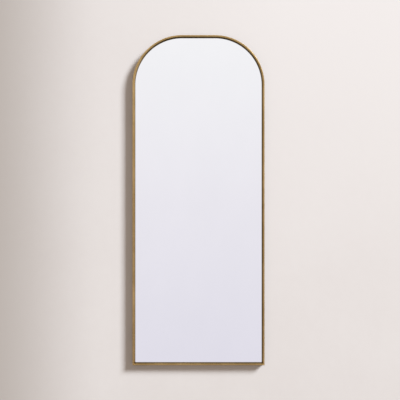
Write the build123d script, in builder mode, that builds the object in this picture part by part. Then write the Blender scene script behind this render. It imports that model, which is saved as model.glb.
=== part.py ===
from build123d import *
import os

# The framed mirror seen from the front, in millimetres
overall_width = 609.6
overall_height = 1524.0
arch_radius = 228.6  # outer radius of the two top corners
screw_line_drop = 300.0  # from the top of the frame down to the wall screws
wall_gap = 1.5  # between the wall and the back edge of the frame

# Frame section, measured inward from its outer face and forward from its back edge
frame_depth = 36.5
face_width = 6.8
frame_wall = 1.6
flange_thickness = 1.5
sight_slope = 5.7  # how far the inner wall leans in from the front face to the glass
seat_width = 4.5  # of the foot of the inner wall that bears on the glass
channel_width = 12.0  # outside width of the rear channel
channel_depth = 5.0  # clear depth of the rear channel
hook_reach = 1.6  # how far each rear hook covers the channel
front_bevel = 0.6  # on both edges of the front face
edge_break = 0.4  # bevel of the section's other corners

# What lies in the glazing groove, from the front to the back
gasket_thickness = 0.5
glass_thickness = 4.0
film_thickness = 0.2
foam_thickness = 1.3
board_thickness = 9.0
clip_gap = 2.0  # room for the spring clips behind the board
edge_gap = 1.4  # room for the edge blocks round the glass and the board
gasket_setback = 0.6  # from the edge of the seat to the gasket
glass_arris = 0.5
film_setback = 2.0  # from the edge of the glass to the film and the foam

# Edge blocks
block_length = 50.0
block_from_corner = 140.0

# Spring clips
clip_length = 32.0
clip_width = 7.0
clip_steel = 0.5
clip_setback = 0.6  # from the edge of the board to the clip
clip_clearance = 0.04
side_clip_count = 5
bottom_clip_count = 3

# Corner keys, their shims and set screws
key_arm = 45.0
key_thickness = 2.5
key_fit = 0.2  # between a key and the channel, on each side
key_corner_cut = 1.5
shim_thickness = 1.0
set_screw_radius = 2.0
set_screw_length = 5.0
set_screw_first = 17.0  # from the key's outer corner to the first screw
set_screw_pitch = 20.0
set_screw_socket = 2.0  # across the flats
set_screw_socket_depth = 2.0
thread_clearance = 0.05

# Hanging cleat on the board and wall rail on the wall
wall_hole_spacing = 406.4
inner_hole_spacing = 203.2
wall_hole_radius = 2.75
rail_end = 25.4  # from the outer wall holes to the ends of the rail
cleat_overhang = 25.4  # how much longer the cleat is than the rail, at each end
bar_thickness = 2.0
bar_base = 20.0  # height of the part that is screwed down
hook_depth = 12.0  # how far the two bars overlap
hook_clearance = 0.2
bar_inner_radius = 0.5
bar_outer_radius = 1.0
bar_tip_chamfer = 0.5

# Screws into the board
screw_radius = 2.0
screw_length = 8.0
screw_head_radius = 3.8
screw_head_height = 2.4
screw_hole_clearance = 0.25
cleat_screw_count = 5
cleat_screw_end = 29.0  # from the last cleat screws to the ends of the cleat
recess_width = 0.9
recess_length = 4.0
recess_depth = 1.3

# Rubber bumpers at the lower corners
bumper_radius = 8.0
bumper_rim_chamfer = 0.5
bumper_inset = 45.0  # from the frame's outer faces to the bumper's centre
bumper_floor = 5.0  # rubber between the board and the head of the screw
bumper_well_radius = 4.3
bumper_screw_length = 12.0

# Places that follow from the sizes above, measured forward from the frame's back edge
channel_floor = flange_thickness + channel_depth
groove_back = channel_floor + flange_thickness
board_back = groove_back + clip_gap
foam_back = board_back + board_thickness
film_back = foam_back + foam_thickness
glass_back = film_back + film_thickness
glass_front = glass_back + glass_thickness
seat_back = glass_front + gasket_thickness
seat_front = seat_back + flange_thickness

# Places measured inward from the frame's outer face
sight_edge = face_width + sight_slope
seat_edge = sight_edge - seat_width
pane_inset = frame_wall + edge_gap
key_inset = frame_wall + key_fit
key_width = channel_width - 2 * key_inset

# Heights from the line of wall screws, and depths from the wall
half_width = overall_width / 2
top = screw_line_drop
bottom = top - overall_height
mid_height = (top + bottom) / 2
arch_spring = top - arch_radius
recess = wall_gap + board_back  # from the wall to the back of the board
bar_offset = (recess + 2 * bar_thickness + hook_clearance) / 2
cleat_line = bar_base + hook_depth  # height of the cleat's screws
rail_length = wall_hole_spacing + 2 * rail_end
cleat_length = rail_length + 2 * cleat_overhang
cleat_screw_pitch = (cleat_length - 2 * cleat_screw_end) / (cleat_screw_count - 1)
top_flat = overall_width - 2 * arch_radius

FRONT = Vector(0, -1, 0)
LEFT_INWARD = Vector(1, 0, 0)
RIGHT_INWARD = Vector(-1, 0, 0)
TOP_INWARD = Vector(0, 0, -1)
BOTTOM_INWARD = Vector(0, 0, 1)

os.makedirs("parts", exist_ok=True)


def save(piece, name):
    """Label a finished piece and write its file."""
    piece.part.label = name
    export_step(piece.part, f"parts/{name}.step")


def corners(sketch, *spots):
    """The corners of a sketch that lie nearest to the given spots."""
    return [sketch.vertices().sort_by_distance(spot)[0] for spot in spots]


def arch(inset, forward):
    """Arched outline, set in from the frame's outer face and standing forward of its back edge."""
    with BuildSketch(Plane.XZ.offset(wall_gap + forward)) as outline:
        with Locations((0, mid_height)):
            Rectangle(overall_width - 2 * inset, overall_height - 2 * inset)
        fillet(outline.vertices().group_by(Axis.Y)[-1], radius=arch_radius - inset)
    return outline.sketch


def edge_plane(x, z, inward):
    """Plane on the frame's outer face at its back edge: x along the edge, y inward, z forward."""
    return Plane(origin=(x, -wall_gap, z), x_dir=inward.cross(FRONT), z_dir=FRONT)


def frame_section(x, z, inward):
    """Section of the frame, x inward from the outer face and y forward from the back edge."""
    front_inside = frame_depth - frame_wall
    channel_inside = channel_width - frame_wall
    lean = sight_slope / (frame_depth - seat_front)
    leaning_wall = frame_wall * (1 + lean**2) ** 0.5
    top_of_lean = face_width + frame_wall * lean - leaning_wall
    place = Plane(origin=(x, -wall_gap, z), x_dir=inward, z_dir=inward.cross(FRONT))
    with BuildSketch(place) as section:
        with BuildLine():
            Polyline(
                (0, 0),
                (0, frame_depth),
                (face_width, frame_depth),
                (sight_edge, seat_front),
                (sight_edge, seat_back),
                (seat_edge, seat_back),
                (seat_edge, seat_front),
                (sight_edge - leaning_wall, seat_front),
                (top_of_lean, front_inside),
                (frame_wall, front_inside),
                (frame_wall, groove_back),
                (channel_width, groove_back),
                (channel_width, 0),
                (channel_inside - hook_reach, 0),
                (channel_inside - hook_reach, flange_thickness),
                (channel_inside, flange_thickness),
                (channel_inside, channel_floor),
                (frame_wall, channel_floor),
                (frame_wall, flange_thickness),
                (frame_wall + hook_reach, flange_thickness),
                (frame_wall + hook_reach, 0),
                close=True,
            )
        make_face()
        front = corners(section, (0, frame_depth), (face_width, frame_depth))
        chamfer(front, length=front_bevel)
        rear = corners(section, (0, 0), (channel_width, 0))
        chamfer(rear, length=edge_break)
    return section.sketch


# Frame: both sides and the arched top are one bent length, mitred where the bottom rail meets it
with BuildPart() as frame_arch:
    with BuildLine(Plane.XZ.offset(wall_gap)) as bend:
        FilletPolyline((-half_width, bottom), (-half_width, top), (0, top), radius=arch_radius)
    sweep(frame_section(-half_width, bottom, LEFT_INWARD), path=bend.line)
    split(bisect_by=Plane(origin=(-half_width, 0, bottom), z_dir=(-1, 0, 1)), keep=Keep.TOP)
    mirror(about=Plane.YZ)
save(frame_arch, "frame_arch")

with BuildPart() as bottom_rail:
    extrude(frame_section(-half_width, bottom, BOTTOM_INWARD), amount=overall_width)
    for side in (-1, 1):
        split(
            bisect_by=Plane(origin=(side * half_width, 0, bottom), z_dir=(-side, 0, -1)),
            keep=Keep.TOP,
        )
save(bottom_rail, "bottom_rail")


# Corner keys and shims: L plates that lie in the rear channel round each mitre
def key_outline(forward):
    """L outline of the left key, standing forward of the frame's back edge."""
    with BuildSketch(Plane.XZ.offset(wall_gap + forward)) as outline:
        with Locations((-half_width + key_inset, bottom + key_inset)):
            Rectangle(key_arm, key_width, align=Align.MIN)
            Rectangle(key_width, key_arm, align=Align.MIN)
        crook = corners(outline, (-half_width + key_inset + key_width, bottom + key_inset + key_width))
        chamfer(outline.vertices() - ShapeList(crook), length=key_corner_cut)
    return outline.sketch


arm_middle = key_inset + key_width / 2
screw_steps = [key_inset + set_screw_first + i * set_screw_pitch for i in range(2)]
set_screw_spots = [(-half_width + step, bottom + arm_middle) for step in screw_steps]
set_screw_spots += [(-half_width + arm_middle, bottom + step) for step in screw_steps]

with BuildPart() as corner_key_left:
    extrude(key_outline(flange_thickness), amount=key_thickness)
    with BuildSketch(Plane.XZ.offset(wall_gap + flange_thickness)):
        with Locations(*set_screw_spots):
            Circle(set_screw_radius + thread_clearance)
    extrude(amount=key_thickness, mode=Mode.SUBTRACT)
save(corner_key_left, "corner_key_left")

with BuildPart() as corner_key_right:
    mirror(corner_key_left.part, about=Plane.YZ)
save(corner_key_right, "corner_key_right")

with BuildPart() as corner_shim_left:
    extrude(key_outline(channel_floor - shim_thickness), amount=shim_thickness)
save(corner_shim_left, "corner_shim_left")

with BuildPart() as corner_shim_right:
    mirror(corner_shim_left.part, about=Plane.YZ)
save(corner_shim_right, "corner_shim_right")

screw_seat = wall_gap + channel_floor - shim_thickness
with BuildPart() as corner_set_screws:
    with BuildSketch(Plane.XZ.offset(screw_seat)):
        with Locations(*set_screw_spots):
            Circle(set_screw_radius)
    extrude(amount=-set_screw_length)
    with BuildSketch(Plane.XZ.offset(screw_seat - set_screw_length)):
        with Locations(*set_screw_spots):
            RegularPolygon(set_screw_socket / 2, 6, major_radius=False)
    extrude(amount=set_screw_socket_depth, mode=Mode.SUBTRACT)
    mirror(about=Plane.YZ)
save(corner_set_screws, "corner_set_screws")

# Glass and the layers behind it
with BuildPart() as mirror_glass:
    extrude(arch(pane_inset, glass_back), amount=glass_thickness)
    faces = mirror_glass.faces().sort_by(Axis.Y)
    chamfer(faces[0].edges() + faces[-1].edges(), length=glass_arris)
save(mirror_glass, "mirror_glass")

with BuildPart() as front_gasket:
    extrude(arch(seat_edge, glass_front), amount=gasket_thickness)
    extrude(
        arch(sight_edge - gasket_setback, glass_front),
        amount=gasket_thickness,
        mode=Mode.SUBTRACT,
    )
save(front_gasket, "front_gasket")

with BuildPart() as safety_film:
    extrude(arch(pane_inset + film_setback, film_back), amount=film_thickness)
save(safety_film, "safety_film")

with BuildPart() as foam_sheet:
    extrude(arch(pane_inset + film_setback, foam_back), amount=foam_thickness)
save(foam_sheet, "foam_sheet")

# Board, with blind holes for the screws of the cleat and the bumpers
board_surface = Plane(origin=(0, -recess, 0), x_dir=(-1, 0, 0), z_dir=(0, 1, 0))
cleat_holes = GridLocations(cleat_screw_pitch, 0, cleat_screw_count, 1)
bumper_spot = half_width - bumper_inset
bumper_height = bottom + bumper_inset
cleat_plane = board_surface.shift_origin((0, -recess, cleat_line))
bumper_planes = [
    board_surface.shift_origin((side * bumper_spot, -recess, bumper_height))
    for side in (-1, 1)
]

with BuildPart() as backing_board:
    extrude(arch(pane_inset, board_back), amount=board_thickness)
    with Locations(cleat_plane):
        with Locations(*cleat_holes.locations):
            Hole(screw_radius + thread_clearance, depth=screw_length - bar_thickness)
    with Locations(*bumper_planes):
        Hole(screw_radius + thread_clearance, depth=bumper_screw_length - bumper_floor)
save(backing_board, "backing_board")

# Edge blocks between the frame's wall and the edges of the glass and the board
block_places = [edge_plane(0, top, TOP_INWARD)]
for side in (-1, 1):
    inward = LEFT_INWARD if side < 0 else RIGHT_INWARD
    edge = side * half_width
    block_places.append(edge_plane(edge, bottom + block_from_corner, inward))
    block_places.append(edge_plane(edge, arch_spring - block_from_corner, inward))
    block_places.append(edge_plane(side * (half_width - block_from_corner), bottom, BOTTOM_INWARD))

with BuildPart() as edge_block:
    with Locations((0, frame_wall, board_back)):
        Box(
            block_length,
            edge_gap,
            glass_front - glass_arris - board_back,
            align=(Align.CENTER, Align.MIN, Align.MIN),
        )
with BuildPart() as edge_blocks:
    with Locations(*block_places):
        add(edge_block.part)
save(edge_blocks, "edge_blocks")

# Spring clips: bowed strips that stand between the channel and the board
clip_places = []
for side in (-1, 1):
    inward = LEFT_INWARD if side < 0 else RIGHT_INWARD
    for i in range(side_clip_count):
        height = bottom + (i + 0.5) * (arch_spring - bottom) / side_clip_count
        clip_places.append(edge_plane(side * half_width, height, inward))
    clip_places.append(edge_plane(side * top_flat / 4, top, TOP_INWARD))
for i in range(bottom_clip_count):
    across = -half_width + (i + 0.5) * overall_width / bottom_clip_count
    clip_places.append(edge_plane(across, bottom, BOTTOM_INWARD))

clip_rise = clip_gap - 2 * clip_clearance - clip_steel
with BuildPart() as spring_clip:
    strip_plane = Plane.XZ.offset(-(pane_inset + clip_setback))
    with BuildSketch(strip_plane) as strip:
        with BuildLine() as bow:
            low = groove_back + clip_clearance
            under = ThreePointArc(
                (-clip_length / 2, low + clip_rise),
                (0, low),
                (clip_length / 2, low + clip_rise),
            )
            over = ThreePointArc(
                (clip_length / 2, low + clip_rise + clip_steel),
                (0, low + clip_steel),
                (-clip_length / 2, low + clip_rise + clip_steel),
            )
            Line(under @ 1, over @ 0)
            Line(over @ 1, under @ 0)
        make_face()
    extrude(amount=-clip_width)
with BuildPart() as spring_clips:
    with Locations(*clip_places):
        add(spring_clip.part)
save(spring_clips, "spring_clips")


# Hanging bars: the same Z section, upright on the wall and turned over on the board
def bar_section(origin, outward, upward):
    """Section of a bar, x out from the surface that carries it and y from its screws to its hook."""
    web_top = bar_base / 2
    tip = web_top + hook_depth
    flange_inside = bar_offset - bar_thickness
    with BuildSketch(Plane(origin=origin, x_dir=outward, z_dir=outward.cross(upward))) as section:
        with BuildLine():
            Polyline(
                (0, -web_top),
                (bar_thickness, -web_top),
                (bar_thickness, web_top - bar_thickness),
                (bar_offset, web_top - bar_thickness),
                (bar_offset, tip),
                (flange_inside, tip),
                (flange_inside, web_top),
                (0, web_top),
                close=True,
            )
        make_face()
        chamfer(corners(section, (bar_offset, tip), (flange_inside, tip)), length=bar_tip_chamfer)
        web_under = web_top - bar_thickness
        fillet(corners(section, (flange_inside, web_top), (bar_thickness, web_under)), bar_inner_radius)
        fillet(corners(section, (0, web_top), (bar_offset, web_under)), radius=bar_outer_radius)
    return section.sketch


with BuildPart() as hanging_cleat:
    extrude(
        bar_section((0, -recess, cleat_line), -FRONT, Vector(0, 0, -1)),
        amount=cleat_length / 2,
        both=True,
    )
    with Locations(cleat_plane.offset(bar_thickness)):
        with Locations(*cleat_holes.locations):
            Hole(screw_radius + screw_hole_clearance, depth=bar_thickness)
save(hanging_cleat, "hanging_cleat")

with BuildPart() as wall_rail:
    extrude(
        bar_section((0, 0, 0), FRONT, Vector(0, 0, 1)),
        amount=rail_length / 2,
        both=True,
    )
    with Locations(Plane.XZ.offset(bar_thickness)):
        for spacing in (wall_hole_spacing, inner_hole_spacing):
            with GridLocations(spacing, 0, 2, 1):
                Hole(wall_hole_radius, depth=bar_thickness)
save(wall_rail, "wall_rail")


# Pan-head screws with a cross recess
def pan_screw(length):
    """Screw along Z with the underside of its head at the origin and its head above."""
    with BuildPart() as screw:
        with BuildSketch():
            Circle(screw_radius)
        extrude(amount=-length)
        with BuildSketch():
            Circle(screw_head_radius)
        extrude(amount=screw_head_height)
        with BuildSketch(Plane.XY.offset(screw_head_height)):
            Rectangle(recess_length, recess_width)
            Rectangle(recess_width, recess_length)
        extrude(amount=-recess_depth, mode=Mode.SUBTRACT)
    return screw.part


cleat_screw = pan_screw(screw_length)
with BuildPart() as cleat_screws:
    with Locations(cleat_plane.offset(bar_thickness)):
        with Locations(*cleat_holes.locations):
            add(cleat_screw)
save(cleat_screws, "cleat_screws")

bumper_screw = pan_screw(bumper_screw_length)
with BuildPart() as bumper_screws:
    with Locations(*[place.offset(bumper_floor) for place in bumper_planes]):
        add(bumper_screw)
save(bumper_screws, "bumper_screws")

# Wall bumpers: rubber feet as deep as the recess, with a well for the screw
with BuildPart() as bumper:
    with BuildSketch():
        Circle(bumper_radius)
    extrude(amount=recess)
    chamfer(bumper.edges().group_by(Axis.Z)[-1], length=bumper_rim_chamfer)
    with Locations((0, 0, recess)):
        CounterBoreHole(
            screw_radius + screw_hole_clearance,
            bumper_well_radius,
            recess - bumper_floor,
        )

for name, place in zip(("wall_bumper_left", "wall_bumper_right"), bumper_planes):
    with BuildPart() as wall_bumper:
        with Locations(place):
            add(bumper.part)
    save(wall_bumper, name)
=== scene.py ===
import math

import bmesh
import bpy
from mathutils import Matrix, Vector


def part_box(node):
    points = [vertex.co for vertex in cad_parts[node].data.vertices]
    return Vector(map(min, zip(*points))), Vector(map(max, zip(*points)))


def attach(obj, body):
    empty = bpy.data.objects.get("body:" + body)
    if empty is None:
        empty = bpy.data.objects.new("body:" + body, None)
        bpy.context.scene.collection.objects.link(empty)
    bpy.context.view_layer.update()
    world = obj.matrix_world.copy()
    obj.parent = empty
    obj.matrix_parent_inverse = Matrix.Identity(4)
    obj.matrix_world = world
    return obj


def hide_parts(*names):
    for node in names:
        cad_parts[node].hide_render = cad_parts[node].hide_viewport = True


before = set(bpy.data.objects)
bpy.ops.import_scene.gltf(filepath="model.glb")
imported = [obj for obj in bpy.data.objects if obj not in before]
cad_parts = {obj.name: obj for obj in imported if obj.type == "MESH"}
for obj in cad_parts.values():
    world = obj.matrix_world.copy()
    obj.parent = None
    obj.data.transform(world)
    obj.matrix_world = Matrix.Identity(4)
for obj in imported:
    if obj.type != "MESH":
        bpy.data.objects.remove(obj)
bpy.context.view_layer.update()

MM = 0.001

# Frame: its outer box comes from the CAD node, its section is written here as in the part
frame_low, frame_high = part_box("frame_arch")
half_width = frame_high.x
frame_top = frame_high.z
frame_bottom = frame_low.z
wall_gap = -frame_high.y
frame_depth = frame_high.y - frame_low.y
arch_radius = 228.6 * MM
face_width = 6.8 * MM
frame_wall = 1.6 * MM
flange = 1.5 * MM
sight_slope = 5.7 * MM
seat_width = 4.5 * MM
seat_back = 25.0 * MM
channel_width = 12.0 * MM
channel_depth = 5.0 * MM
hook_reach = 1.6 * MM
front_radius = 0.8 * MM
edge_radius = 0.4 * MM
inner_radius = 0.15 * MM
corner_steps = 4
arch_steps = 72

# How far the rubbed wear with a painted highlight on edges and the tarnish with painted shade beside the
# glass fade out, and the fine groove at each mitre
rub_and_highlight_width = 0.7 * MM
tarnish_and_shade_width = 6.0 * MM
seam_run = 0.3 * MM
seam_depth = 0.12 * MM

# Glass
arris = 0.5 * MM

# Pan-head screws: the dome starts and ends at angles in degrees from the head's plane
head_radius = 3.8 * MM
head_height = 2.4 * MM
head_break = 0.15 * MM
dome_radius = 4.7 * MM
dome_start = 62.5
dome_end = 53.5
shoulder_radius = 0.9 * MM
shoulder_drop = 0.95 * MM
shank_radius = 2.0 * MM
tip_radius = 0.2 * MM
tip_length = 1.5 * MM
recess_width = 0.95 * MM
recess_length = 4.1 * MM
recess_depth = 1.35 * MM
recess_taper = 0.62
cleat_screw_count = 5

# Rubber feet
bumper_base_radius = 8.0 * MM
bumper_base_edge = 0.3 * MM
bumper_face_radius = 7.1 * MM
bumper_rim = 0.9 * MM
bumper_floor = 5.0 * MM
well_radius = 4.3 * MM
well_flare = 0.3 * MM
well_mouth_radius = 4.8 * MM
well_lip = 0.4 * MM
bore_radius = 2.25 * MM

# Turned pieces, and the angle from which an edge is shaded sharp
turn_steps = 64
sharp_angle = math.radians(38)

# Room, camera and light
photo_width = 1.8456
camera_distance = 4.0
camera_x = 0.0069
camera_z = -0.461
sensor_width = 36.0
wall_y = 0.5 * MM
floor_z = -1.55
room_reach = 9.0
light_direction = Vector((1.19, -1.0, 1.0)).normalized()
light_distance = 60.0
light_size = 18.0
key_share = 0.69
key_colour = (0.95, 1.0, 1.05)
ambient_share = 0.31
ambient_colour = (1.10, 0.94, 0.80)
ambient_low = 0.2
ambient_high = 1.4
back_direction = Vector((-0.55, 1.0, 0.60)).normalized()
back_distance = 40.0
back_size = 45.0
back_share = 0.42
back_colour = (1.0, 1.0, 1.0)
backdrop_colour = (0.80, 0.75, 0.72)


# Meshes

def finished(name, work):
    """Mesh of a working mesh, with its faces turned outward."""
    bmesh.ops.recalc_face_normals(work, faces=work.faces)
    mesh = bpy.data.meshes.new(name)
    work.to_mesh(mesh)
    work.free()
    return mesh


def rounded(corners):
    """Closed outline with its corners rounded, as points with their wear and painted light.

    Each corner is (x, y, radius, wear and painted light). Above 0 it is rubbed wear with a painted highlight,
    and fades out on both flats beside the corner. Below 0 it is tarnish with painted shade, and fades out on
    the flat before the corner.
    """
    points = []
    for i, (x, y, radius, wear_and_painted_light) in enumerate(corners):
        here = Vector((x, y))
        before = Vector(corners[i - 1][:2]) - here
        after = Vector(corners[(i + 1) % len(corners)][:2]) - here
        turn = before.angle(after)
        reach = radius / math.tan(turn / 2)
        to_before = before.normalized()
        to_after = after.normalized()
        start = here + to_before * reach
        end = here + to_after * reach
        centre = here + (to_before + to_after).normalized() * radius / math.sin(turn / 2)
        a = start - centre
        b = end - centre
        swing = a.angle(b)
        if wear_and_painted_light:
            fade = rub_and_highlight_width if wear_and_painted_light > 0 else tarnish_and_shade_width
            points.append((start + to_before * fade, 0.0))
        for k in range(corner_steps + 1):
            part = k / corner_steps
            arm = (a * math.sin((1 - part) * swing) + b * math.sin(part * swing)) / math.sin(swing)
            points.append((centre + arm, wear_and_painted_light))
        if wear_and_painted_light > 0:
            points.append((end + to_after * rub_and_highlight_width, 0.0))
    return points


def shrunk(points, depth):
    """The same outline moved into its own material by a small depth."""
    area = sum(p.x * q.y - q.x * p.y for (p, _), (q, _) in zip(points, points[1:] + points[:1]))
    side = 1 if area > 0 else -1
    moved = []
    for i, (here, wear_and_painted_light) in enumerate(points):
        along = points[(i + 1) % len(points)][0] - points[i - 1][0]
        inward = Vector((-along.y, along.x)).normalized() * side
        moved.append((here + inward * depth, wear_and_painted_light))
    return moved


def frame_section():
    """Channel section of the frame: x inward from the outer face, y forward from the back edge."""
    front_inside = frame_depth - frame_wall
    sight_edge = face_width + sight_slope
    seat_edge = sight_edge - seat_width
    seat_front = seat_back + flange
    lean = sight_slope / (frame_depth - seat_front)
    leaning_wall = frame_wall * math.hypot(1, lean)
    top_of_lean = face_width + frame_wall * lean - leaning_wall
    channel_inside = channel_width - frame_wall
    channel_floor = flange + channel_depth
    groove_back = channel_floor + flange
    return rounded(
        [
            # Last number of each corner: above 0 rubbed wear with a painted highlight, below 0 tarnish with
            # painted shade
            (0, 0, edge_radius, 0.7),
            (0, frame_depth, front_radius, 1.0),
            (face_width, frame_depth, front_radius, 1.0),
            # The foot of the leaning wall beside the glass is painted dark: tarnish with painted shade
            (sight_edge, seat_front, inner_radius, -1.0),
            (sight_edge, seat_back, inner_radius, 0.0),
            (seat_edge, seat_back, inner_radius, 0.0),
            (seat_edge, seat_front, inner_radius, 0.0),
            (sight_edge - leaning_wall, seat_front, inner_radius, 0.0),
            (top_of_lean, front_inside, inner_radius, 0.0),
            (frame_wall, front_inside, inner_radius, 0.0),
            (frame_wall, groove_back, inner_radius, 0.0),
            (channel_width, groove_back, inner_radius, 0.0),
            (channel_width, 0, edge_radius, 0.5),
            (channel_inside - hook_reach, 0, inner_radius, 0.3),
            (channel_inside - hook_reach, flange, inner_radius, 0.0),
            (channel_inside, flange, inner_radius, 0.0),
            (channel_inside, channel_floor, inner_radius, 0.0),
            (frame_wall, channel_floor, inner_radius, 0.0),
            (frame_wall, flange, inner_radius, 0.0),
            (frame_wall + hook_reach, flange, inner_radius, 0.0),
            (frame_wall + hook_reach, 0, inner_radius, 0.3),
        ]
    )


def arch_stations(inset):
    """Stations up the left side, round the arch and down the right: a point and its way inward."""
    radius = arch_radius - inset
    stations = []
    for side in (-1, 1):
        centre = Vector((side * (half_width - arch_radius), frame_top - arch_radius))
        quarter = []
        for k in range(arch_steps + 1):
            angle = math.pi / 2 * k / arch_steps
            out = Vector((side * math.cos(angle), math.sin(angle)))
            quarter.append((centre + out * radius, -out))
        stations += quarter if side < 0 else quarter[::-1]
    left = -half_width + inset
    bottom = frame_bottom + inset
    stations.insert(0, (Vector((left, bottom)), Vector((1, 1))))
    stations.append((Vector((-left, bottom)), Vector((-1, 1))))
    return stations


def loft(name, rings):
    """Mesh through rings of points, with the length along and round it as UVs, and the wear and painted light
    as a layer.
    """
    work = bmesh.new()
    uv_layer = work.loops.layers.uv.new("run")
    wear_and_painted_light_layer = work.verts.layers.float.new("wear_and_painted_light")
    rows = []
    for ring in rings:
        row = []
        for point, wear_and_painted_light in ring:
            vert = work.verts.new(point)
            vert[wear_and_painted_light_layer] = wear_and_painted_light
            row.append(vert)
        rows.append(row)
    count = len(rows[0])
    run = [0.0]
    for first, second in zip(rows, rows[1:]):
        run.append(run[-1] + (second[0].co - first[0].co).length)
    girth = [0.0]
    middle = rows[len(rows) // 2]
    for j in range(count):
        girth.append(girth[-1] + (middle[(j + 1) % count].co - middle[j].co).length)
    for i, (first, second) in enumerate(zip(rows, rows[1:])):
        near, far = run[i], run[i + 1]
        for j in range(count):
            other = (j + 1) % count
            low, high = girth[j], girth[j + 1]
            face = work.faces.new((first[j], first[other], second[other], second[j]))
            for loop, place in zip(face.loops, ((near, low), (near, high), (far, high), (far, low))):
                loop[uv_layer].uv = place
    for row in (rows[0], rows[-1]):
        face = work.faces.new(row)
        for loop in face.loops:
            loop[uv_layer].uv = (loop.vert.co.x, loop.vert.co.y)
    return finished(name, work)


def lay_ring(outline, origin, inward, along=Vector((0, 0))):
    """Ring of a section at a station, with the section's forward direction towards the front."""
    ring = []
    for point, wear_and_painted_light in outline:
        spot = origin + inward * point.x + along
        ring.append((Vector((spot.x, -wall_gap - point.y, spot.y)), wear_and_painted_light))
    return ring


def frame_rings(stations, outline, first_along, last_along):
    """Rings along the stations, with a fine V groove left at each mitre."""
    inset = shrunk(outline, seam_depth)
    rings = [
        lay_ring(inset, *stations[0]),
        lay_ring(outline, *stations[0], first_along * seam_run),
    ]
    rings += [lay_ring(outline, *station) for station in stations[1:-1]]
    rings += [
        lay_ring(outline, *stations[-1], last_along * seam_run),
        lay_ring(inset, *stations[-1]),
    ]
    return rings


def glass_mesh():
    """Plate of glass with arrised edges. Its face, edge and painted back are materials 0, 1 and 2."""
    low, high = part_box("mirror_glass")
    front, back = low.y, high.y
    stations = arch_stations(half_width - high.x)
    work = bmesh.new()
    rows = []
    for depth, shift in ((back, arris), (back - arris, 0), (front + arris, 0), (front, arris)):
        row = []
        for origin, inward in stations:
            spot = origin + inward * shift
            row.append(work.verts.new((spot.x, depth, spot.y)))
        rows.append(row)
    for first, second in zip(rows, rows[1:]):
        for j in range(len(stations)):
            other = (j + 1) % len(stations)
            face = work.faces.new((first[j], first[other], second[other], second[j]))
            face.material_index = 1
    work.faces.new(rows[0]).material_index = 2
    work.faces.new(rows[-1]).material_index = 0
    return finished("glass_plate", work)


def turned(profile):
    """Working mesh of a profile of (radius, height) turned about the Z axis, and its rows of verts."""
    work = bmesh.new()
    rows = []
    for k in range(turn_steps):
        angle = 2 * math.pi * k / turn_steps
        row = []
        for radius, height in profile:
            row.append(work.verts.new((radius * math.cos(angle), radius * math.sin(angle), height)))
        rows.append(row)
    for row, following in zip(rows, rows[1:] + rows[:1]):
        for j in range(len(profile) - 1):
            work.faces.new((row[j], following[j], following[j + 1], row[j + 1]))
    return work, rows


def arc_points(centre, radius, start, end, steps):
    """Points on an arc in a profile, from one angle to another in degrees."""
    points = []
    for k in range(steps + 1):
        angle = math.radians(start + (end - start) * k / steps)
        points.append((centre[0] + radius * math.cos(angle), centre[1] + radius * math.sin(angle)))
    return points


def cross_outline(width, length):
    """Outline of a cross recess, with small tapers at the ends and the roots of its arms."""
    half = width / 2
    end = length / 2
    end_half = half * 0.8
    root = half * 1.5
    arm = [(end, -end_half), (end, end_half), (root, half), (half, root)]
    points = []
    for k in range(4):
        turn = Matrix.Rotation(math.pi / 2 * k, 2)
        points += [turn @ Vector(p) for p in arm]
    return points


def screw_mesh(length):
    """Pan-head screw along Z, its underside at the origin, with a cross recess."""
    dome = arc_points((0, 0), dome_radius, dome_start, dome_end, 4)
    lift = head_height - dome[0][1]
    profile = [(r, z + lift) for r, z in dome]
    shoulder = (head_radius - shoulder_radius, profile[-1][1] - shoulder_drop)
    profile += arc_points(shoulder, shoulder_radius, 60, 0, 5)
    profile += [(head_radius, head_break), (head_radius - head_break, 0), (shank_radius, 0)]
    profile += [(shank_radius, tip_length - length), (tip_radius, -length)]
    work, rows = turned(profile)
    rim = [row[0] for row in rows]
    work.faces.new([row[-1] for row in rows])

    outline = cross_outline(recess_width, recess_length)
    recess_floor = head_height - recess_depth
    mouth = [work.verts.new((p.x, p.y, head_height)) for p in outline]
    pit = [work.verts.new((p.x * recess_taper, p.y * recess_taper, recess_floor)) for p in outline]
    for j in range(len(outline)):
        other = (j + 1) % len(outline)
        work.faces.new((mouth[j], mouth[other], pit[other], pit[j]))
    work.faces.new(pit)

    edges = []
    for loop in (rim, mouth):
        for pair in zip(loop, loop[1:] + loop[:1]):
            edges.append(work.edges.get(pair) or work.edges.new(pair))
    bmesh.ops.triangle_fill(work, use_beauty=True, edges=edges)
    return finished("screw", work)


def bumper_mesh(depth):
    """Tapered rubber foot along Z with a soft rim and a well for its screw."""
    middle_radius = (bumper_base_radius + bumper_face_radius) / 2
    base_centre = (bumper_base_radius - bumper_base_edge, bumper_base_edge)
    rim_centre = (bumper_face_radius - bumper_rim, depth - bumper_rim)
    lip_centre = (well_mouth_radius + well_lip, depth - well_lip)
    profile = [(bore_radius, 0), (bumper_base_radius - bumper_base_edge, 0)]
    profile += arc_points(base_centre, bumper_base_edge, -75, 0, 4)
    profile.append((middle_radius, depth / 2))
    profile += arc_points(rim_centre, bumper_rim, 0, 90, 7)
    profile += arc_points(lip_centre, well_lip, 90, 180, 4)
    profile += [(radius, bumper_floor) for radius in (well_radius + well_flare, well_radius, bore_radius)]
    profile.append(profile[0])
    work, _ = turned(profile)
    bmesh.ops.remove_doubles(work, verts=work.verts, dist=1e-7)
    return finished("bumper", work)


def joined(name, mesh, places):
    """One mesh with a copy of another at each place."""
    work = bmesh.new()
    for place in places:
        copy = mesh.copy()
        copy.transform(place)
        work.from_mesh(copy)
        bpy.data.meshes.remove(copy)
    result = bpy.data.meshes.new(name)
    work.to_mesh(result)
    work.free()
    return result


def facing_wall(x, y, z):
    """Placement that turns a piece's Z axis towards the wall."""
    return Matrix.Translation((x, y, z)) @ Matrix.Rotation(-math.pi / 2, 4, "X")


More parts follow.
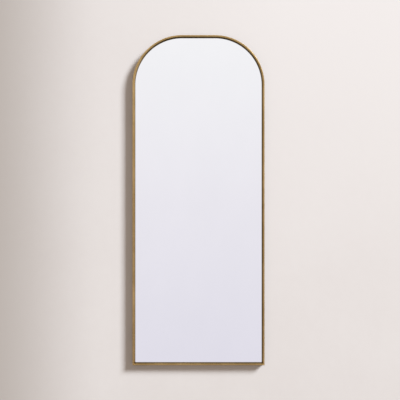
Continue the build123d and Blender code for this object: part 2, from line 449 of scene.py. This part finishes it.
def add_piece(name, mesh, materials, body, nodes):
    """Object of the part from a mesh, riding on a body and standing for CAD nodes."""
    for item in materials:
        mesh.materials.append(item)
    piece = bpy.data.objects.new(name, mesh)
    bpy.context.scene.collection.objects.link(piece)
    mesh.shade_smooth()
    mesh.set_sharp_from_angle(angle=sharp_angle)
    weighted = piece.modifiers.new("normals", "WEIGHTED_NORMAL")
    weighted.keep_sharp = True
    weighted.weight = 100
    # The brass throws no coloured glow on the wall
    piece.visible_diffuse = brass not in materials
    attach(piece, body)
    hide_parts(*nodes)


# Materials

def new_material(name, metallic, roughness):
    """Material with its principled shader's plain values set."""
    made = bpy.data.materials.new(name)
    made.use_nodes = True
    shader = made.node_tree.nodes["Principled BSDF"]
    shader.inputs["Metallic"].default_value = metallic
    shader.inputs["Roughness"].default_value = roughness
    return made, made.node_tree, shader


def node(tree, kind, **values):
    """Shader node with its properties or inputs set by name."""
    made = tree.nodes.new(kind)
    for name, value in values.items():
        if hasattr(made, name):
            setattr(made, name, value)
        else:
            made.inputs[name.replace("_", " ").title()].default_value = value
    return made


def object_place(tree, scale=(1, 1, 1)):
    """Object coordinates in metres, stretched by a scale."""
    source = node(tree, "ShaderNodeTexCoord")
    stretch = node(tree, "ShaderNodeMapping")
    stretch.inputs["Scale"].default_value = scale
    tree.links.new(source.outputs["Object"], stretch.inputs["Vector"])
    return stretch.outputs["Vector"]


def run_place(tree, scale):
    """Lengths along and round a swept piece, stretched by a scale."""
    source = node(tree, "ShaderNodeUVMap", uv_map="run")
    stretch = node(tree, "ShaderNodeMapping")
    stretch.inputs["Scale"].default_value = scale
    tree.links.new(source.outputs["UV"], stretch.inputs["Vector"])
    return stretch.outputs["Vector"]


def noise(tree, place, scale, detail=3.0, rough=0.5):
    """Noise between 0 and 1 at a place."""
    made = node(tree, "ShaderNodeTexNoise", scale=scale, detail=detail, roughness=rough)
    tree.links.new(place, made.inputs["Vector"])
    return made.outputs["Fac"]


def remap(tree, value, low, high, from_low=0.3, from_high=0.7, course="LINEAR"):
    """A value taken from one range to another."""
    made = node(tree, "ShaderNodeMapRange", interpolation_type=course)
    made.inputs["From Min"].default_value = from_low
    made.inputs["From Max"].default_value = from_high
    made.inputs["To Min"].default_value = low
    made.inputs["To Max"].default_value = high
    tree.links.new(value, made.inputs["Value"])
    return made.outputs["Result"]


def math_node(tree, operation, a, b=0):
    """Two values or numbers put together."""
    made = node(tree, "ShaderNodeMath", operation=operation)
    for socket, value in zip(made.inputs, (a, b)):
        if isinstance(value, (int, float)):
            socket.default_value = value
        else:
            tree.links.new(value, socket)
    return made.outputs["Value"]


def blend(tree, a, share_a, b, share_b):
    """Sum of two values, each by its share."""
    first = math_node(tree, "MULTIPLY", a, share_a)
    second = math_node(tree, "MULTIPLY", b, share_b)
    return math_node(tree, "ADD", first, second)


def mix_colours(tree, factor, a, b):
    """Colour between two colours, each a tuple or a socket."""
    made = node(tree, "ShaderNodeMix", data_type="RGBA")
    tree.links.new(factor, made.inputs["Factor"])
    for name, value in (("A", a), ("B", b)):
        socket = next(s for s in made.inputs if s.name == name and s.type == "RGBA")
        if isinstance(value, tuple):
            socket.default_value = (*value, 1)
        else:
            tree.links.new(value, socket)
    return next(s for s in made.outputs if s.type == "RGBA")


def set_colour(tree, shader, factor, a, b):
    """Colour of a surface, between two colours."""
    tree.links.new(mix_colours(tree, factor, a, b), shader.inputs["Base Color"])


def set_roughness(tree, shader, value):
    """Roughness of a surface from a value."""
    tree.links.new(value, shader.inputs["Roughness"])


def set_bump(tree, shader, height, strength, distance):
    """Relief of a surface from a height between 0 and 1."""
    made = node(tree, "ShaderNodeBump")
    made.inputs["Strength"].default_value = strength
    made.inputs["Distance"].default_value = distance
    tree.links.new(height, made.inputs["Height"])
    tree.links.new(made.outputs["Normal"], shader.inputs["Normal"])


def brass_material():
    """Fine brushed brass: aged, rubbed bright with a painted highlight on its outer edges, and tarnished with
    painted shade beside the glass.
    """
    dark_brass = (0.322, 0.204, 0.073)
    pale_brass = (0.482, 0.316, 0.126)
    rubbed_and_highlight_brass = (0.62, 0.44, 0.21)
    tarnish_and_shade_brown = (0.045, 0.028, 0.014)
    made, tree, shader = new_material("antique_brass", 1.0, 0.30)
    streak = noise(tree, run_place(tree, (5, 2400, 1)), 1.0, 4.0, 0.65)
    fine = noise(tree, run_place(tree, (24, 9000, 1)), 1.0, 2.0)
    cloud = noise(tree, object_place(tree), 9.0, 5.0, 0.6)
    tone = remap(tree, blend(tree, streak, 0.45, cloud, 0.55), 0, 1, 0.38, 0.62)
    aged = mix_colours(tree, tone, dark_brass, pale_brass)
    wear_and_painted_light = node(tree, "ShaderNodeAttribute", attribute_name="wear_and_painted_light").outputs["Fac"]
    bright = math_node(tree, "MAXIMUM", wear_and_painted_light)
    tarnish_and_shade = math_node(tree, "MULTIPLY", math_node(tree, "MINIMUM", wear_and_painted_light), -1)
    rubbed_and_highlight = math_node(tree, "MULTIPLY", bright, remap(tree, cloud, 0.35, 0.85, 0.4, 0.6))
    # Edges painted lighter as rubbed wear and a painted highlight, the foot beside the glass painted dark as
    # tarnish and painted shade
    set_colour(tree, shader, tarnish_and_shade, mix_colours(tree, rubbed_and_highlight, aged, rubbed_and_highlight_brass), tarnish_and_shade_brown)
    rough = math_node(tree, "ADD", remap(tree, streak, 0.21, 0.31), remap(tree, cloud, -0.03, 0.05))
    softer = math_node(tree, "MULTIPLY", math_node(tree, "ABSOLUTE", wear_and_painted_light), 0.10)
    set_roughness(tree, shader, math_node(tree, "ADD", rough, softer))
    shader.inputs["Anisotropic"].default_value = 0.4
    grain = math_node(tree, "ADD", streak, math_node(tree, "MULTIPLY", fine, 0.4))
    set_bump(tree, shader, grain, 0.25, 0.02 * MM)
    return made


def mirror_material():
    """Silvered face, with the faintest film of haze."""
    made, tree, shader = new_material("silvered_face", 1.0, 0.0)
    haze = noise(tree, object_place(tree, (1, 1, 0.6)), 4.0, 4.0, 0.6)
    set_colour(tree, shader, remap(tree, haze, 0, 1), (0.925, 0.930, 0.935), (0.945, 0.948, 0.952))
    set_roughness(tree, shader, remap(tree, haze, 0.004, 0.022))
    return made


def glass_edge_material():
    """Ground edge of the glass: grey green and satin."""
    made, tree, shader = new_material("ground_glass_edge", 0.0, 0.35)
    grind = noise(tree, object_place(tree), 900.0, 3.0)
    set_colour(tree, shader, grind, (0.16, 0.27, 0.24), (0.30, 0.42, 0.38))
    set_roughness(tree, shader, remap(tree, grind, 0.25, 0.5))
    set_bump(tree, shader, grind, 0.2, 0.05 * MM)
    return made


def backing_paint_material():
    """Grey paint over the silvering."""
    made, tree, shader = new_material("backing_paint", 0.0, 0.5)
    flow = noise(tree, object_place(tree), 30.0, 4.0)
    set_colour(tree, shader, flow, (0.20, 0.21, 0.22), (0.26, 0.27, 0.28))
    set_roughness(tree, shader, remap(tree, flow, 0.42, 0.6))
    set_bump(tree, shader, flow, 0.15, 0.1 * MM)
    return made


def board_material():
    """Fibre board: brown, with fine fibres, darker flecks and a slight sheen from the press."""
    dark_board = (0.275, 0.170, 0.090)
    pale_board = (0.430, 0.290, 0.170)
    fleck_brown = (0.12, 0.07, 0.04)
    made, tree, shader = new_material("fibre_board", 0.0, 0.6)
    cloud = noise(tree, object_place(tree), 6.0, 5.0, 0.6)
    fibre = noise(tree, object_place(tree, (1, 1, 0.45)), 420.0, 5.0, 0.7)
    fleck = noise(tree, object_place(tree, (1, 1, 0.6)), 260.0, 2.0, 0.4)
    tone = remap(tree, blend(tree, fibre, 0.6, cloud, 0.4), 0, 1, 0.36, 0.64)
    base = mix_colours(tree, tone, dark_board, pale_board)
    set_colour(tree, shader, remap(tree, fleck, 0, 0.65, 0.64, 0.72), base, fleck_brown)
    set_roughness(tree, shader, remap(tree, fibre, 0.5, 0.72))
    set_bump(tree, shader, fibre, 0.35, 0.08 * MM)
    return made


def aluminium_material():
    """Mill-finish aluminium with die lines along X."""
    made, tree, shader = new_material("mill_aluminium", 1.0, 0.45)
    lines = noise(tree, object_place(tree, (2, 900, 900)), 1.0, 4.0, 0.7)
    cloud = noise(tree, object_place(tree), 20.0, 4.0)
    set_colour(tree, shader, lines, (0.52, 0.52, 0.54), (0.70, 0.70, 0.71))
    rough = math_node(tree, "ADD", remap(tree, lines, 0.38, 0.52), remap(tree, cloud, -0.04, 0.06))
    set_roughness(tree, shader, rough)
    set_bump(tree, shader, lines, 0.3, 0.03 * MM)
    return made


def plated_material(name, dark, pale, rough_low, rough_high, scale):
    """Plated or blackened steel with small patches of tone."""
    made, tree, shader = new_material(name, 1.0, rough_low)
    patch = noise(tree, object_place(tree), scale, 4.0, 0.6)
    set_colour(tree, shader, remap(tree, patch, 0, 1), dark, pale)
    set_roughness(tree, shader, remap(tree, patch, rough_low, rough_high))
    set_bump(tree, shader, patch, 0.15, 0.03 * MM)
    return made


def matt_material(name, dark, pale, rough_low, rough_high, scale, relief):
    """Matt rubber, tape, foam or film with a fine grain and a relief in millimetres."""
    made, tree, shader = new_material(name, 0.0, rough_low)
    grain = noise(tree, object_place(tree), scale, 4.0, 0.6)
    set_colour(tree, shader, remap(tree, grain, 0, 1), dark, pale)
    set_roughness(tree, shader, remap(tree, grain, rough_low, rough_high))
    set_bump(tree, shader, grain, 0.4, relief * MM)
    return made


def plaster_material():
    """Trowelled pale plaster for the wall, seen from its front side alone.

    Its colour is painted paler towards the top right as painted light, and darker at the far left as painted
    shade.
    """
    dark_plaster = (0.785, 0.737, 0.719)
    pale_plaster = (0.822, 0.780, 0.764)
    painted_light_plaster = (0.895, 0.858, 0.848)
    painted_shade_plaster = (0.445, 0.398, 0.362)
    made, tree, shader = new_material("plaster", 0.0, 0.9)
    shader.inputs["Specular IOR Level"].default_value = 0.15
    broad = noise(tree, object_place(tree), 1.6, 4.0, 0.55)
    fine = noise(tree, object_place(tree), 26.0, 6.0, 0.6)
    tone = remap(tree, blend(tree, broad, 0.75, fine, 0.25), 0, 1, 0.35, 0.65)
    coat = mix_colours(tree, tone, dark_plaster, pale_plaster)
    spot = node(tree, "ShaderNodeSeparateXYZ")
    tree.links.new(object_place(tree), spot.inputs["Vector"])
    # Painted light: the coat grows paler towards the top right
    upward = remap(tree, spot.outputs["Z"], 0.0, 1.0, -1.5, 0.45)
    rightward = remap(tree, spot.outputs["X"], 0.0, 1.0, -1.0, 0.40)
    coat = mix_colours(tree, math_node(tree, "MULTIPLY", upward, rightward), coat, painted_light_plaster)
    # Painted shade: the coat grows darker towards the far left
    leftward = remap(tree, spot.outputs["X"], 0.82, 0.0, -1.06, -0.42, "SMOOTHSTEP")
    set_colour(tree, shader, leftward, coat, painted_shade_plaster)
    set_bump(tree, shader, fine, 0.12, 2 * MM)
    clear = node(tree, "ShaderNodeBsdfTransparent")
    side = node(tree, "ShaderNodeNewGeometry")
    mixed = node(tree, "ShaderNodeMixShader")
    tree.links.new(side.outputs["Backfacing"], mixed.inputs["Fac"])
    tree.links.new(shader.outputs["BSDF"], mixed.inputs[1])
    tree.links.new(clear.outputs["BSDF"], mixed.inputs[2])
    tree.links.new(mixed.outputs["Shader"], tree.nodes["Material Output"].inputs["Surface"])
    return made


def floor_material():
    """Plain pale floor."""
    made, tree, shader = new_material("pale_floor", 0.0, 0.8)
    shader.inputs["Specular IOR Level"].default_value = 0.1
    cloud = noise(tree, object_place(tree), 2.0, 3.0)
    set_colour(tree, shader, cloud, (0.66, 0.62, 0.59), (0.70, 0.66, 0.63))
    return made


# Pieces of the part

brass = brass_material()
zinc = plated_material("zinc_plate", (0.50, 0.51, 0.53), (0.74, 0.75, 0.77), 0.24, 0.42, 1200.0)
spring = plated_material("spring_steel", (0.36, 0.36, 0.38), (0.52, 0.52, 0.54), 0.28, 0.42, 700.0)
black_oxide = plated_material("black_oxide", (0.05, 0.05, 0.055), (0.10, 0.10, 0.11), 0.35, 0.55, 1500.0)
rubber = matt_material("black_rubber", (0.028, 0.028, 0.029), (0.048, 0.047, 0.047), 0.62, 0.82, 1400.0, 0.05)
tape = matt_material("black_tape", (0.022, 0.022, 0.022), (0.035, 0.035, 0.035), 0.75, 0.9, 2200.0, 0.05)
foam = matt_material("white_foam", (0.78, 0.78, 0.77), (0.88, 0.88, 0.87), 0.8, 0.95, 900.0, 0.2)
film = matt_material("splinter_film", (0.62, 0.66, 0.68), (0.72, 0.75, 0.77), 0.35, 0.5, 500.0, 0.05)
board = board_material()
aluminium = aluminium_material()

carried = {
    "front_gasket": tape,
    "safety_film": film,
    "foam_sheet": foam,
    "backing_board": board,
    "edge_blocks": rubber,
    "spring_clips": spring,
    "corner_key_left": zinc,
    "corner_key_right": zinc,
    "corner_shim_left": zinc,
    "corner_shim_right": zinc,
    "corner_set_screws": black_oxide,
    "hanging_cleat": aluminium,
    "wall_rail": aluminium,
}
for name, finish in carried.items():
    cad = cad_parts[name]
    cad.material_slots[0].material = finish

# Arched frame, and the rail that closes it between its two lower corners
section = frame_section()
up = Vector((0, 1))
right = Vector((1, 0))
add_piece(
    "arched_frame",
    loft("arched_frame", frame_rings(arch_stations(0), section, up, up)),
    [brass],
    "mirror",
    ["frame_arch"],
)
corner_left = (Vector((-half_width, frame_bottom)), Vector((1, 1)))
corner_right = (Vector((half_width, frame_bottom)), Vector((-1, 1)))
add_piece(
    "bottom_frame_rail",
    loft("bottom_frame_rail", frame_rings([corner_left, corner_right], section, right, -right)),
    [brass],
    "mirror",
    ["bottom_rail"],
)

add_piece(
    "glass_plate",
    glass_mesh(),
    [mirror_material(), glass_edge_material(), backing_paint_material()],
    "mirror",
    ["mirror_glass"],
)

# Screws of the cleat, in a row, and of the bumpers
screw_low, screw_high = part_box("cleat_screws")
row_start = screw_low.x + head_radius
row_step = (screw_high.x - screw_low.x - 2 * head_radius) / (cleat_screw_count - 1)
row_z = (screw_low.z + screw_high.z) / 2
row_seat = screw_high.y - head_height
cleat_spots = [facing_wall(row_start + i * row_step, row_seat, row_z) for i in range(cleat_screw_count)]
cleat_screw = screw_mesh(screw_high.y - screw_low.y - head_height)
add_piece(
    "cleat_screw_row",
    joined("cleat_screw_row", cleat_screw, cleat_spots),
    [zinc],
    "mirror",
    ["cleat_screws"],
)

bumper_low, bumper_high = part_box("bumper_screws")
foot_x = bumper_high.x - head_radius
foot_z = (bumper_low.z + bumper_high.z) / 2
foot_seat = bumper_high.y - head_height
foot_spots = [facing_wall(side * foot_x, foot_seat, foot_z) for side in (-1, 1)]
foot_screw = screw_mesh(bumper_high.y - bumper_low.y - head_height)
add_piece(
    "bumper_screw_pair",
    joined("bumper_screw_pair", foot_screw, foot_spots),
    [zinc],
    "mirror",
    ["bumper_screws"],
)

for side, hand in ((-1, "left"), (1, "right")):
    low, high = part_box(f"wall_bumper_{hand}")
    foot = bumper_mesh(high.y - low.y)
    foot.transform(facing_wall(side * foot_x, low.y, foot_z))
    add_piece(f"rubber_foot_{hand}", foot, [rubber], "mirror", [f"wall_bumper_{hand}"])


# Room: plaster wall, pale floor, soft studio light

def plane(name, corners, finish):
    """Flat stage piece through four corners."""
    mesh = bpy.data.meshes.new(name)
    mesh.from_pydata(corners, [], [(0, 1, 2, 3)])
    mesh.materials.append(finish)
    made = bpy.data.objects.new(name, mesh)
    bpy.context.scene.collection.objects.link(made)
    return made


def area_light(name, direction, distance, size, share, colour, facing):
    """Square soft light on the part that gives a surface facing it the named share of full light."""
    lamp = bpy.data.lights.new(name, "AREA")
    lamp.size = size
    lamp.color = colour
    slant = abs(direction.dot(facing))
    lamp.energy = share * math.pi ** 2 * distance ** 2 / slant
    made = bpy.data.objects.new(name, lamp)
    made.location = middle + direction * distance
    made.rotation_euler = direction.to_track_quat("Z", "Y").to_euler()
    made.visible_camera = False
    bpy.context.scene.collection.objects.link(made)


def colour_ramp(tree, value, stops):
    """Colour at a value between -1 and 1, from stops of a place between 0 and 1 and a colour."""
    ramp = node(tree, "ShaderNodeValToRGB")
    tree.links.new(remap(tree, value, 0, 1, -1, 1), ramp.inputs["Fac"])
    while len(ramp.color_ramp.elements) < len(stops):
        ramp.color_ramp.elements.new(0.5)
    for element, (position, colour) in zip(ramp.color_ramp.elements, stops):
        element.position = position
        element.color = (*colour, 1)
    return ramp.outputs["Color"]


def world_light():
    """Soft light from the front and the back, and the room that shows in reflections.

    The room is pale ahead of the mirror, dim at the floor and towards its left side.
    """
    world = bpy.data.worlds.new("studio")
    bpy.context.scene.world = world
    world.use_nodes = True
    tree = world.node_tree
    backdrop = tree.nodes["Background"]
    coords = node(tree, "ShaderNodeTexCoord")
    direction = node(tree, "ShaderNodeSeparateXYZ")
    tree.links.new(coords.outputs["Generated"], direction.inputs["Vector"])

    upward = (
        (0.10, (0.11, 0.10, 0.095)),
        (0.25, (0.26, 0.24, 0.23)),
        (0.34, (0.70, 0.68, 0.74)),
        (0.392, (0.780, 0.758, 0.850)),
        (0.5, (0.872, 0.850, 0.906)),
        (0.608, (0.968, 0.966, 0.980)),
        (0.75, (0.90, 0.89, 0.88)),
        (0.92, (0.42, 0.41, 0.40)),
    )
    rightward = (
        (0.0, (0.62, 0.62, 0.62)),
        (0.02, (0.50, 0.50, 0.50)),
        (0.05, (0.24, 0.24, 0.24)),
        (0.075, (0.22, 0.22, 0.22)),
        (0.20, (1.0, 1.0, 1.0)),
    )
    height_tone = colour_ramp(tree, direction.outputs["Z"], upward)
    side_tone = colour_ramp(tree, direction.outputs["X"], rightward)
    room_colour = mix_colours(tree, side_tone, (0.0, 0.0, 0.0), height_tone)

    ahead = math_node(tree, "ABSOLUTE", direction.outputs["Y"])
    faint = tuple(ambient_share * ambient_low * c for c in ambient_colour)
    full = tuple(ambient_share * ambient_high * c for c in ambient_colour)
    ambient = mix_colours(tree, ahead, faint, full)

    path = node(tree, "ShaderNodeLightPath")
    shown = mix_colours(tree, path.outputs["Is Glossy Ray"], ambient, room_colour)
    shown = mix_colours(tree, path.outputs["Is Camera Ray"], shown, backdrop_colour)
    shown = mix_colours(tree, path.outputs["Is Transmission Ray"], shown, backdrop_colour)
    tree.links.new(shown, backdrop.inputs["Color"])


wall_corners = [
    (-room_reach, wall_y, floor_z),
    (room_reach, wall_y, floor_z),
    (room_reach, wall_y, room_reach),
    (-room_reach, wall_y, room_reach),
]
wall = plane("plaster_wall", wall_corners, plaster_material())
wall.visible_shadow = False
wall.visible_diffuse = False
wall.visible_glossy = False
wall.visible_transmission = False

floor_corners = [
    (-room_reach, -room_reach, floor_z),
    (room_reach, -room_reach, floor_z),
    (room_reach, room_reach, floor_z),
    (-room_reach, room_reach, floor_z),
]
ground = plane("pale_floor", floor_corners, floor_material())
ground.visible_glossy = False
ground.visible_diffuse = False

middle = Vector((0, 0, (frame_top + frame_bottom) / 2))
front = Vector((0, -1, 0))
area_light("key", light_direction, light_distance, light_size, key_share, key_colour, front)
area_light("back", back_direction, back_distance, back_size, back_share, back_colour, -front)
world_light()

camera_data = bpy.data.cameras.new("photo_camera")
camera_data.sensor_width = sensor_width
camera_data.lens = sensor_width * camera_distance / photo_width
camera = bpy.data.objects.new("photo_camera", camera_data)
camera.location = (camera_x, frame_low.y - camera_distance, camera_z)
camera.rotation_euler = (math.pi / 2, 0, 0)
bpy.context.scene.collection.objects.link(camera)
bpy.context.scene.camera = camera
bpy.context.scene.view_settings.view_transform = "Standard"
